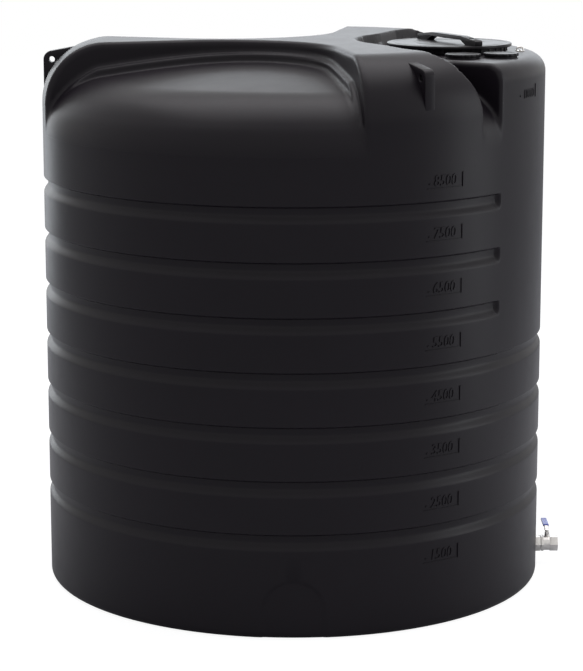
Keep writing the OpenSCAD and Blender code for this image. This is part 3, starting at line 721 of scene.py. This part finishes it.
def net_of(field, size, step, level):
    """A mesh of even quads on a surface, with one point in each cell that it crosses"""
    reach = size.radius + 3 * step
    low = size.split_z - 3.3 * step
    side = np.arange(-reach, reach + step, step)
    tall = np.arange(low, size.deck_z + 3 * step, step)
    x, y, z = np.meshgrid(side, side, tall, indexing="ij")
    value = field(x, y, z) + level
    inside = value < 0
    count = np.zeros([n - 1 for n in inside.shape], np.int8)
    for i in (0, 1):
        for j in (0, 1):
            for k in (0, 1):
                count += inside[i : i + count.shape[0], j : j + count.shape[1], k : k + count.shape[2]]
    active = (count > 0) & (count < 8)
    number = np.full(active.shape, -1, np.int64)
    number[active] = np.arange(active.sum())
    cells = np.argwhere(active)
    points = np.stack([side[cells[:, 0]], side[cells[:, 1]], tall[cells[:, 2]]], axis=-1) + step / 2
    faces = []
    for axis in range(3):
        a, b = [n for n in range(3) if n != axis]
        here = np.moveaxis(inside, (axis, a, b), (0, 1, 2))
        numbers = np.moveaxis(number, (axis, a, b), (0, 1, 2))
        crossing = here[:-1, 1:-1, 1:-1] != here[1:, 1:-1, 1:-1]
        i, j, k = np.nonzero(crossing)
        corners = ((i, j, k), (i, j + 1, k), (i, j + 1, k + 1), (i, j, k + 1))
        quad = np.stack([numbers[corner] for corner in corners], 1)
        outward = here[i, j + 1, k + 1] ^ (axis == 1)
        faces.append(np.where(outward[:, None], quad, quad[:, ::-1]))
    faces = np.concatenate(faces)
    faces = faces[(faces >= 0).all(1)]
    return points, faces


def settle_points(points, faces, field, level, step, rounds):
    """Moves the points onto the surface and spreads them evenly on it"""
    near, far = faces, np.roll(faces, -1, axis=1)
    ends = np.concatenate([near.ravel(), far.ravel()])
    others = np.concatenate([far.ravel(), near.ravel()])
    total = np.maximum(np.bincount(ends, minlength=len(points)), 1)[:, None]
    small = 0.0004
    for turn in range(rounds):
        if turn > 1:
            mean = np.stack([np.bincount(ends, points[others, n], len(points)) for n in range(3)], 1) / total
            points = points + 0.5 * (mean - points)
        x, y, z = points.T
        here = field(x, y, z) + level
        slopes = np.stack([
            field(x + small, y, z) - field(x - small, y, z),
            field(x, y + small, z) - field(x, y - small, z),
            field(x, y, z + small) - field(x, y, z - small),
        ], 1) / (2 * small)
        steep = np.maximum((slopes * slopes).sum(1), 0.3)
        points = points - (np.clip(here / steep, -step, step))[:, None] * slopes
    return points


def build_crown(size):
    """The top of the moulding: shoulder, recesses, arms, platform and notches"""
    field = crown_field(size)
    work = bmesh.new()
    # The outside in small steps, and the inside of the wall in wide ones
    for step, level in ((0.0108, 0.0), (0.030, size.wall)):
        points, faces = net_of(field, size, step, level)
        points = settle_points(points, faces, field, level, step, 7)
        skin = bmesh.new()
        skin.from_mesh(mesh_of("skin", points, faces if level == 0 else faces[:, ::-1]))
        cut = bmesh.ops.bisect_plane(
            skin, geom=skin.verts[:] + skin.edges[:] + skin.faces[:], plane_co=(0, 0, size.split_z),
            plane_no=(0, 0, 1), clear_inner=True, dist=1e-6,
        )
        for item in cut["geom_cut"]:
            if isinstance(item, bmesh.types.BMVert):
                item.co.z = size.split_z
        mesh = bpy.data.meshes.new("skin")
        skin.to_mesh(mesh)
        skin.free()
        work.from_mesh(mesh)
        bpy.data.meshes.remove(mesh)
    rims = [edge for edge in work.edges if len(edge.link_faces) == 1]
    filled = bmesh.ops.triangle_fill(work, edges=rims, use_beauty=True, normal=(0, 0, -1))
    rim_cap = [item for item in filled["geom"] if isinstance(item, bmesh.types.BMFace)]
    if any(face.calc_center_median().xy.length < size.radius - 0.05 for face in rim_cap):
        raise RuntimeError("the crown's rim is filled across the tank")
    bmesh.ops.recalc_face_normals(work, faces=rim_cap)
    mesh = bpy.data.meshes.new("tank_crown")
    work.to_mesh(mesh)
    work.free()
    piece = object_of("tank_crown", mesh)
    cut_hole(piece, (MANWAY.x, MANWAY.y, size.tower_z), size.manway_radius, 0.06)
    for x, y in PORT_PLACES:
        cut_hole(piece, (x, y, size.tower_z), size.port_radius, 0.06)
    return dress(piece, "tank", "shell", ("tank_crown", "tank_platform"), 50)


# Fins, neck, marks and lid

# The litre marks are drawn this much narrower than their flat drawing
NARROWED = 0.9


def copies_tree():
    """Sets copies of a piece round a vertical axis"""
    lengths = ("Start angle", "Step angle", "Centre X", "Centre Y")
    tree, net, given = geometry_tree("ring_of_copies", lengths, ("Count",))
    centre = net.add("ShaderNodeCombineXYZ", None, [given["Centre X"], given["Centre Y"], 0.0])
    values = {"Count": given["Count"], "Start Location": centre, "Offset": (0, 0, 0)}
    spots = net.add("GeometryNodeMeshLine", None, values)
    turn = given["Start angle"] + net.add("GeometryNodeInputIndex") * given["Step angle"]
    turned = net.add("ShaderNodeCombineXYZ", None, [0.0, 0.0, turn])
    values = {"Points": spots, "Instance": given["Geometry"], "Rotation": turned}
    shape = net.add("GeometryNodeInstanceOnPoints", None, values)
    end_tree(net, shape, given)
    return tree


def thread_tree():
    """A round thread climbing round a vertical axis"""
    lengths = ("Radius", "Height", "Pitch", "Ridge", "Low", "Centre X", "Centre Y")
    tree, net, given = geometry_tree("screw_thread", lengths)
    turns = given["Height"] / given["Pitch"]
    helix = net.add("GeometryNodeCurveSpiral", None, {
        "Resolution": 72, "Rotations": turns, "Height": given["Height"],
        "Start Radius": given["Radius"], "End Radius": given["Radius"],
    })
    ridge = net.add("GeometryNodeCurvePrimitiveCircle", None, {"Resolution": 6, "Radius": given["Ridge"]})
    values = {"Curve": helix, "Profile Curve": ridge, "Fill Caps": True}
    body = net.add("GeometryNodeCurveToMesh", None, values)
    shift = net.add("ShaderNodeCombineXYZ", None, [given["Centre X"], given["Centre Y"], given["Low"]])
    placed = net.add("GeometryNodeTransform", None, {"Geometry": body, "Translation": shift})
    joined = net.add("GeometryNodeJoinGeometry", None, {"Geometry": given["Geometry"]})
    net.tree.links.new(placed.socket, joined.socket.node.inputs[0])
    end_tree(net, joined, given)
    return tree


def ring_of(piece, count, start, step, centre=(0.0, 0.0), finish="shell"):
    """Turns a piece into a ring of copies"""
    return run_tree(piece, copies_tree(), {
        "Start angle": start, "Step angle": step, "Centre X": centre[0], "Centre Y": centre[1],
        "Count": count, "Material": MATERIALS[finish],
    })


def plate(outline, thickness, holes=()):
    """A closed plate in the XZ plane, half its thickness to each side, with round holes"""
    work = bmesh.new()
    edges = []
    for loop in (outline, *holes):
        ring = [work.verts.new((x, -thickness / 2, z)) for x, z in loop]
        edges += [work.edges.new((a, b)) for a, b in zip(ring, ring[1:] + ring[:1])]
    filled = bmesh.ops.triangle_fill(work, edges=edges, use_beauty=True, normal=(0, -1, 0))
    faces = [f for f in filled["geom"] if isinstance(f, bmesh.types.BMFace)]
    pushed = bmesh.ops.extrude_face_region(work, geom=faces, use_keep_orig=True)
    moved = [v for v in pushed["geom"] if isinstance(v, bmesh.types.BMVert)]
    bmesh.ops.translate(work, verts=moved, vec=(0, thickness, 0))
    bmesh.ops.recalc_face_normals(work, faces=work.faces)
    bmesh.ops.dissolve_limit(work, angle_limit=math.radians(1), verts=work.verts, edges=work.edges)
    return work


def circle_points(x, z, radius, count):
    """Points on a circle in plan or side view"""
    return [
        (x + radius * math.cos(2 * math.pi * k / count), z + radius * math.sin(2 * math.pi * k / count))
        for k in range(count)
    ]


def build_fins(size):
    """Three lifting fins with an eye, their feet sunk in the arms"""
    eye_x, eye_z = size.radius - 0.044, size.deck_z - 0.092
    eye_radius, around_eye, thickness = 0.014, 0.039, 0.050
    corner = [
        (eye_x + around_eye * math.cos(math.radians(turn)), eye_z + around_eye * math.sin(math.radians(turn)))
        for turn in (0, 14, 28, 42, 56, 70, 82)
    ]
    foot = size.radius - size.deck_edge + 0.046
    outline = [
        (eye_x + around_eye, size.deck_z - size.deck_edge), *corner,
        (foot, size.deck_z - 0.017), (foot, size.deck_z - size.deck_edge * 0.55),
    ]
    work = plate(outline, thickness, [circle_points(eye_x, eye_z, eye_radius, 24)])
    mesh = bpy.data.meshes.new("fin")
    work.to_mesh(mesh)
    work.free()
    piece = object_of("lifting_fins", mesh)
    bevelled(piece, 0.004, 3)
    ring_of(piece, 3, math.radians(-180), math.radians(120))
    return dress(piece, "tank", "shell")


def build_neck(size):
    """The manway's neck with its thread, and a foot flange that blends into the platform"""
    low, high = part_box("manway_neck")
    bore = size.manway_radius
    outer = (high.x - low.x) / 2
    waist, sunk = outer - 0.0030, low.z - 0.004
    profile = rounded([
        (bore, sunk), (outer, sunk), (outer, low.z + 0.0035), (waist, low.z + 0.0055),
        (waist, high.z), (bore, high.z),
    ], 0.0022)
    piece = object_of("manway_neck", facing_out(lathe("manway_neck", profile, 120, MANWAY.xy)))
    run_tree(piece, thread_tree(), {
        "Radius": waist - 0.0002, "Height": 0.0125, "Pitch": 0.0060, "Ridge": 0.0024, "Low": low.z + 0.0085,
        "Centre X": MANWAY.x, "Centre Y": MANWAY.y, "Material": MATERIALS["shell"],
    })
    return dress(piece, "tank", "shell", ("manway_neck",))


def wrap_on_wall(mesh, azimuth, radius, low):
    """Bends a flat drawing, with X along the wall and Y up, round the wall"""
    for vertex in mesh.vertices:
        x, y, z = vertex.co
        turn = azimuth + NARROWED * x / radius
        reach = radius + z
        vertex.co = (reach * math.sin(turn), -reach * math.cos(turn), low + y)
    mesh.update()


def written(label, height, proud, lean):
    """Plain numerals as a closed raised mesh, centred, standing on Y = 0"""
    data = bpy.data.curves.new("numerals", "FONT")
    data.body = label
    data.size = height / 0.70
    data.shear = lean
    data.align_x = "CENTER"
    data.extrude = proud
    data.resolution_u = 3
    thing = bpy.data.objects.new("numerals", data)
    bpy.context.scene.collection.objects.link(thing)
    graph = bpy.context.evaluated_depsgraph_get()
    graph.update()
    mesh = bpy.data.meshes.new_from_object(thing.evaluated_get(graph), depsgraph=graph)
    bpy.data.objects.remove(thing)
    work = bmesh.new()
    work.from_mesh(mesh)
    bmesh.ops.remove_doubles(work, verts=work.verts, dist=1e-6)
    work.to_mesh(mesh)
    work.free()
    return mesh


def slab(x0, x1, y0, y1, proud, steps):
    """A raised bar as a closed box, cut up along X so that it bends with the wall"""
    points, faces = [], []
    for k in range(steps + 1):
        x = x0 + (x1 - x0) * k / steps
        points += [(x, y0, -proud), (x, y1, -proud), (x, y1 - 0.001, proud), (x, y0 + 0.001, proud)]
    for k in range(steps):
        a, b = 4 * k, 4 * k + 4
        for i in range(4):
            n = (i + 1) % 4
            faces.append((a + i, a + n, b + n, b + i))
    faces += [(3, 2, 1, 0), tuple(4 * steps + i for i in range(4))]
    return mesh_of("slab", points, faces)


def build_marks(size):
    """Raised litre marks: a number over a line, with a bar at its end and a dot at its start"""
    work = bmesh.new()

    def put(mesh, azimuth, low):
        wrap_on_wall(mesh, azimuth, size.radius, low)
        facing_out(mesh)
        work.from_mesh(mesh)
        bpy.data.meshes.remove(mesh)

    # A mark in every band, and one for the full tank on the tower
    line_z = size.first_groove - size.band + 0.066
    azimuth = math.radians(35)
    last = size.ring_grooves + size.short_grooves
    for k in range(last + 1):
        low = line_z + k * size.band - (0.012 if k == last else 0.0)
        put(slab(-0.128, 0.080, 0.0, 0.005, 0.0022, 14), azimuth, low)
        put(slab(0.083, 0.092, 0.0, 0.066, 0.004, 1), azimuth, low)
        put(slab(-0.118, -0.110, 0.018, 0.026, 0.003, 1), azimuth, low)
        put(written(str(1500 + 1000 * k), 0.048, 0.0034, 0.12), azimuth - 0.018, low + 0.013)
    low = line_z + (last + 1) * size.band + 0.094
    azimuth = math.radians(64)
    put(written("10000", 0.040, 0.0028, 0.0), azimuth, low)
    put(slab(0.092, 0.100, -0.004, 0.056, 0.003, 1), azimuth, low)
    put(slab(-0.112, -0.104, 0.010, 0.018, 0.003, 1), azimuth, low)
    mesh = bpy.data.meshes.new("litre_marks")
    work.to_mesh(mesh)
    work.free()
    return dress(object_of("litre_marks", mesh), "tank", "shell", (), 30)


def build_lid():
    """The screwed lid: rounded rim, rings pressed in the top, gripped skirt"""
    low, high = LID_LOW, LID_HIGH
    rim = (high.x - low.x) / 2
    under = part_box("lid_seal")[1].z
    skirt = rim - 0.023
    inner = skirt - 0.012
    dip = 0.0016
    profile = rounded([
        (0.0, under), (inner, under), (inner, low.z), (skirt, low.z), (skirt, under), (rim, under),
        (rim, high.z), (rim - 0.022, high.z), (rim - 0.026, high.z - dip), (rim - 0.036, high.z - dip),
        (rim - 0.040, high.z), (0.168, high.z), (0.165, high.z - dip), (0.158, high.z - dip),
        (0.155, high.z), (0.0, high.z),
    ], 0.0030, 3, False)
    piece = object_of("lid_cover", facing_out(lathe("lid_cover", profile, 160, MANWAY.xy)))
    dress(piece, "lid", "fitting", ("manway_lid",), 45)
    grip = slab(skirt - 0.002, skirt + 0.0045, low.z + 0.003, under - 0.001, 0.005, 1)
    for vertex in grip.vertices:
        x, y, z = vertex.co
        vertex.co = (x, z, y)
    facing_out(grip)
    ribs = object_of("lid_grips", grip)
    ring_of(ribs, 36, 0.0, math.radians(10), MANWAY.xy, "fitting")
    dress(ribs, "lid", "fitting")


def build_cap(name, node, body):
    """A port cap: scalloped rim with softened edges, a shallow dish in the top, a hollow screwed plug"""
    low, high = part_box(node)
    centre = ((low.x + high.x) / 2, (low.y + high.y) / 2)
    rim = (high.x - low.x) / 2
    under = high.z - 0.013
    plug, hollow, dish = 0.0537, 0.0477, high.z - 0.0022
    profile = rounded([
        (0.0, under), (hollow, under), (hollow, low.z), (plug, low.z), (plug, under), (rim, under),
        (rim, high.z), (rim - 0.014, high.z), (rim - 0.018, dish), (0.0, dish),
    ], 0.0024, 3, False)
    mesh = lathe(name, profile, 192, centre)
    scallop = 2 * math.pi / 16
    for vertex in mesh.vertices:
        x, y = vertex.co.x - centre[0], vertex.co.y - centre[1]
        r = math.hypot(x, y)
        if r > rim - 0.010:
            aside = abs((math.atan2(y, x) / scallop + 0.5) % 1 - 0.5) * scallop * rim
            hollowed = max(0.0, 1 - (aside / 0.0068) ** 2) ** 0.6
            dip = 0.0032 * hollowed * min(1.0, (r - rim + 0.010) / 0.008)
            vertex.co.x -= x / r * dip
            vertex.co.y -= y / r * dip
    piece = object_of(name, facing_out(mesh))
    return dress(piece, body, "fitting", (node,), 45)


# Operators


class TANK_OT_fins(bpy.types.Operator):
    """Builds the three lifting fins"""

    bl_idname = "tank.fins"
    bl_label = "Lifting fins"

    def execute(self, context):
        build_fins(context.scene.tank_sizes)
        return {"FINISHED"}


class TANK_OT_neck(bpy.types.Operator):
    """Builds the manway's threaded neck"""

    bl_idname = "tank.neck"
    bl_label = "Manway neck"

    def execute(self, context):
        build_neck(context.scene.tank_sizes)
        return {"FINISHED"}


class TANK_OT_marks(bpy.types.Operator):
    """Builds the raised litre marks"""

    bl_idname = "tank.marks"
    bl_label = "Litre marks"

    def execute(self, context):
        build_marks(context.scene.tank_sizes)
        return {"FINISHED"}


class TANK_OT_lid(bpy.types.Operator):
    """Builds the lid, its grips and its grip bar with bolts"""

    bl_idname = "tank.lid"
    bl_label = "Lid"

    def execute(self, context):
        build_lid()
        softened("grip_bar", "grip_bar", "lid", "fitting", 0.0030, 3)
        softened("bar_bolts", "grip_bar_bolts", "lid", "steel", 0.0006)
        softened("bar_nuts", "grip_bar_nuts", "lid", "steel", 0.0006)
        return {"FINISHED"}


class TANK_OT_ports(bpy.types.Operator):
    """Builds the two screwed ports with their caps"""

    bl_idname = "tank.ports"
    bl_label = "Ports"

    def execute(self, context):
        for side in "ab":
            build_cap("port_cap_" + side, "port_cap_" + side, "cap_" + side)
            softened("port_collar_" + side, "port_insert_" + side, "tank", "fitting", 0.0010)
            softened("port_backnut_" + side, "port_nut_" + side, "tank", "fitting", 0.0010)
        return {"FINISHED"}


class TANK_OT_staple(bpy.types.Operator):
    """Builds the padlock staple and its screws"""

    bl_idname = "tank.staple"
    bl_label = "Padlock staple"

    def execute(self, context):
        softened("padlock_loop", "padlock_staple", "tank", "steel", 0.0006)
        softened("loop_screws", "staple_screws", "tank", "steel", 0.0008)
        return {"FINISHED"}


class TANK_OT_outlet(bpy.types.Operator):
    """Builds the outlet's fittings and the ball valve with its lever"""

    bl_idname = "tank.outlet"
    bl_label = "Outlet valve"

    def execute(self, context):
        softened("outlet_tube", "outlet_flange", "tank", "steel", 0.0010)
        softened("outlet_backnut", "outlet_nut", "tank", "cast_steel", 0.0014, 3)
        softened("valve_case", "valve_body", "tank", "cast_steel", 0.0012, 3)
        softened("valve_end", "valve_end_cap", "tank", "cast_steel", 0.0014, 3)
        softened("valve_gland", "gland_nut", "tank", "steel", 0.0006)
        softened("valve_spindle", "valve_stem", "valve_lever", "steel", 0.0003)
        softened("valve_lever", "lever", "valve_lever", "steel", 0.0006)
        softened("lever_top_nut", "lever_nut", "valve_lever", "steel", 0.0005)
        softened("lever_sleeve", "lever_sleeve", "valve_lever", "sleeve", 0.0030, 4)
        return {"FINISHED"}


class TANK_OT_materials(bpy.types.Operator):
    """Makes the finishes and gives them to the solids that keep their shape"""

    bl_idname = "tank.materials"
    bl_label = "Finishes"

    def execute(self, context):
        look = context.scene.tank_finish
        rough = look.plastic_rough
        MATERIALS["shell"] = moulded_plastic("shell_plastic", look.plastic, rough, 0.0009, 0.00022)
        MATERIALS["fitting"] = moulded_plastic("fitting_plastic", look.fitting, rough - 0.04, 0.0002, 0.0001)
        MATERIALS["rubber"] = rubber_material("seal_rubber", look.rubber)
        MATERIALS["steel"] = steel_material("turned_steel", look.steel, 0.24, False)
        MATERIALS["cast_steel"] = steel_material("cast_steel", look.steel, 0.36, True)
        MATERIALS["sleeve"] = sleeve_material("sleeve_vinyl", look.sleeve)
        MATERIALS["seat"] = seat_material("seat_plastic", look.seat)
        kept = {
            "lid_seal": "rubber", "port_seal_a": "rubber", "port_seal_b": "rubber",
            "outlet_inner_gasket": "rubber", "outlet_outer_gasket": "rubber",
            "inner_ball_seat": "seat", "outer_ball_seat": "seat", "stem_packing": "seat",
            "valve_ball": "steel",
        }
        for node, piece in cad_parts.items():
            piece.data.materials.clear()
            piece.data.materials.append(MATERIALS[kept.get(node, "fitting")])
        return {"FINISHED"}


class TANK_OT_wall(bpy.types.Operator):
    """Builds the grooved wall with its base"""

    bl_idname = "tank.wall"
    bl_label = "Wall"

    def execute(self, context):
        build_wall(context.scene.tank_sizes)
        return {"FINISHED"}


class TANK_OT_crown(bpy.types.Operator):
    """Builds the crown with its arms, recesses and platform"""

    bl_idname = "tank.crown"
    bl_label = "Crown"

    def execute(self, context):
        build_crown(context.scene.tank_sizes)
        return {"FINISHED"}


class TANK_OT_stage(bpy.types.Operator):
    """Builds the floor, the lamps, the world and the camera"""

    bl_idname = "tank.stage"
    bl_label = "Stage"

    def execute(self, context):
        build_stage(context.scene)
        return {"FINISHED"}


def build_stage(scene):
    """A white floor and backdrop, four soft lamps and the camera"""
    reach = 30
    corners = [(-reach, -reach, 0), (reach, -reach, 0), (reach, reach, 0), (-reach, reach, 0)]
    floor = object_of("floor", mesh_of("floor", corners, [(0, 1, 2, 3)]))
    material, net = new_material("floor_white")
    seen = net.add("ShaderNodeLightPath", out="Is Camera Ray")
    plain = net.add("ShaderNodeBsdfDiffuse", None, {"Color": (0.80, 0.80, 0.81, 1.0)})
    shadowed = net.add("ShaderNodeBsdfDiffuse", None, {"Color": (0.22, 0.22, 0.22, 1.0)})
    white = net.add("ShaderNodeEmission", None, {"Color": (1.0, 1.0, 1.0, 1.0), "Strength": 0.90})
    paper = net.add("ShaderNodeAddShader", None, [shadowed, white])
    mixed = net.add("ShaderNodeMixShader", None, {0: seen, 1: plain, 2: paper})
    net.add("ShaderNodeOutputMaterial", None, {"Surface": mixed})
    floor.data.materials.append(material)

    world = bpy.data.worlds.new("studio")
    scene.world = world
    world.use_nodes = True
    world.node_tree.nodes.clear()
    net = Net(world.node_tree)
    camera_ray = net.add("ShaderNodeLightPath", out="Is Camera Ray")
    glossy_ray = net.add("ShaderNodeLightPath", out="Is Glossy Ray")
    clear_ray = net.add("ShaderNodeLightPath", out="Is Transmission Ray")
    direct = camera_ray.do("MAXIMUM", glossy_ray).do("MAXIMUM", clear_ray)
    soft = net.add("ShaderNodeBackground", None, {"Color": (0.93, 0.95, 1.0, 1.0), "Strength": 0.55})
    white = net.add("ShaderNodeBackground", None, {"Color": (1.0, 1.0, 1.0, 1.0), "Strength": 1.0})
    mixed = net.add("ShaderNodeMixShader", None, {0: direct, 1: soft, 2: white})
    net.add("ShaderNodeOutputWorld", None, {"Surface": mixed})

    # Name, place, what it points at, width, height, power and tint
    lamps = (
        ("top_lamp", (0.0, 0.6, 7.5), (0.0, 0.0, 2.0), 7.0, 5.0, 300.0, (1.0, 0.97, 1.0)),
        ("back_lamp", (0.0, 10.5, 4.6), (0.0, 0.0, 2.4), 11.0, 3.2, 215.0, (0.86, 0.93, 1.0)),
        ("left_lamp", (-5.0, 6.8, 2.6), (0.0, 0.0, 1.3), 1.8, 5.0, 95.0, (0.90, 0.95, 1.0)),
        ("right_lamp", (6.4, -1.0, 2.6), (0.0, 0.0, 1.3), 2.0, 5.0, 100.0, (0.94, 0.97, 1.0)),
    )
    for name, place, aim, width, height, power, tint in lamps:
        data = bpy.data.lights.new(name, "AREA")
        data.shape = "RECTANGLE"
        data.size = width
        data.size_y = height
        data.energy = power
        data.color = tint
        lamp = bpy.data.objects.new(name, data)
        lamp.location = place
        lamp.rotation_euler = (Vector(aim) - Vector(place)).to_track_quat("-Z", "Y").to_euler()
        lamp.visible_camera = False
        scene.collection.objects.link(lamp)

    data = bpy.data.cameras.new("view")
    data.sensor_fit = "VERTICAL"
    data.sensor_height = 36.0
    data.sensor_width = 36.0
    data.lens = 128.0
    data.shift_x = -0.0031
    camera = bpy.data.objects.new("view", data)
    camera.location = (0.0, -11.167, 3.366)
    down = 0.1979
    camera.rotation_euler = (math.pi / 2 - down, 0.0, 0.0)
    scene.collection.objects.link(camera)
    scene.camera = camera
    scene.view_settings.view_transform = "Standard"


class TANK_PT_panel(bpy.types.Panel):
    """Lists the tank's pieces in the sidebar"""

    bl_idname = "TANK_PT_panel"
    bl_label = "Rainwater tank"
    bl_space_type = "VIEW_3D"
    bl_region_type = "UI"
    bl_category = "Tank"

    def draw(self, context):
        layout = self.layout
        for operator in OPERATORS:
            layout.operator(operator.bl_idname)
        for group in (context.scene.tank_sizes, context.scene.tank_finish):
            box = layout.box()
            for key in group.__annotations__:
                box.prop(group, key)


OPERATORS = (
    TANK_OT_materials, TANK_OT_wall, TANK_OT_crown, TANK_OT_fins, TANK_OT_neck, TANK_OT_marks,
    TANK_OT_lid, TANK_OT_ports, TANK_OT_staple, TANK_OT_outlet, TANK_OT_stage,
)
CLASSES = (TankSizes, TankFinish, *OPERATORS, TANK_PT_panel)


def register():
    for item in CLASSES:
        bpy.utils.register_class(item)
    bpy.types.Scene.tank_sizes = PointerProperty(type=TankSizes)
    bpy.types.Scene.tank_finish = PointerProperty(type=TankFinish)


def unregister():
    del bpy.types.Scene.tank_finish
    del bpy.types.Scene.tank_sizes
    for item in reversed(CLASSES):
        bpy.utils.unregister_class(item)


def main():
    """Builds every piece in order"""
    register()
    bpy.ops.tank.materials()
    bpy.ops.tank.wall()
    bpy.ops.tank.crown()
    bpy.ops.tank.fins()
    bpy.ops.tank.neck()
    bpy.ops.tank.marks()
    bpy.ops.tank.lid()
    bpy.ops.tank.ports()
    bpy.ops.tank.staple()
    bpy.ops.tank.outlet()
    bpy.ops.tank.stage()


if __name__ == "__main__":
    main()
